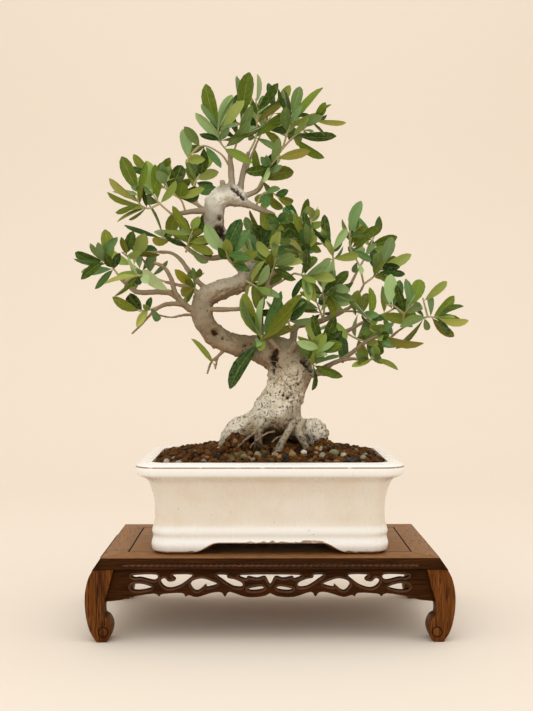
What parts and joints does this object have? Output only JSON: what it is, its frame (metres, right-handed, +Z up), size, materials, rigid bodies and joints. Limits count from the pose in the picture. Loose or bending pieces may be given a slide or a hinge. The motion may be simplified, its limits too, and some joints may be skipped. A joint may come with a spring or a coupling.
{
  "type": "olive bonsai",
  "caption": "Olive bonsai with a curved trunk and leafy sprays, in a rectangular glazed pot on a low scroll-footed wooden stand with pierced aprons.",
  "frame": {"origin": "on the ground under the middle of the stand", "axes": "+X to the right seen from the front, +Y from the front to the back, +Z up"},
  "size_m": [0.4791, 0.2378, 0.671],
  "materials": {
    "walnut": "dark oiled walnut, satin",
    "stoneware": "cream glaze with fine brown specks, soft gloss",
    "screen": "dark plastic mesh",
    "soil": "fired clay granules, matt",
    "bark": "rough pale grey-brown bark",
    "leaf": "satin green above, paler below"
  },
  "bodies": {
    "root": {"rail_front": "walnut", "rail_back": "walnut", "rail_left": "walnut", "rail_right": "walnut", "top_panel": "walnut", "leg_front_left": "walnut", "leg_back_left": "walnut", "leg_front_right": "walnut", "leg_back_right": "walnut", "apron_front": "walnut", "apron_back": "walnut", "apron_left": "walnut", "apron_right": "walnut", "pot": "stoneware", "drain_screen_left": "screen", "drain_screen_right": "screen", "soil": "soil", "trunk": "bark", "spray_top_left": "leaf", "spray_top_centre": "leaf", "spray_top_mid": "leaf", "spray_top_right": "leaf", "spray_right_crown": "leaf", "spray_under_crown": "leaf", "spray_knuckle_right": "leaf", "spray_upper_left": "leaf", "spray_left_crown": "leaf", "spray_left_fan": "leaf", "spray_trunk_left": "leaf", "spray_left_inner": "leaf", "spray_far_left": "leaf", "spray_left_cluster": "leaf", "spray_left_tuft": "leaf", "spray_left_pale": "leaf", "spray_inner_left": "leaf", "spray_left_low": "leaf", "spray_trunk_front": "leaf", "spray_rosette": "leaf", "spray_centre_right": "leaf", "spray_middle_fan": "leaf", "spray_right_fan": "leaf", "spray_right_spur": "leaf", "spray_right_plume": "leaf", "spray_right_wing": "leaf", "spray_right_shoulder": "leaf", "spray_far_right": "leaf", "spray_right_low": "leaf", "spray_right_middle": "leaf", "spray_right_inner": "leaf", "spray_right_hanging": "leaf", "spray_right_base": "leaf", "spray_rear_left": "leaf", "spray_rear_centre": "leaf", "spray_rear_centre_low": "leaf", "spray_rear_upper_left": "leaf", "spray_rear_upper": "leaf", "spray_rear_top": "leaf", "spray_rear_right": "leaf", "spray_rear_right_low": "leaf", "spray_rear_right_top": "leaf"}
  },
  "joints": []
}
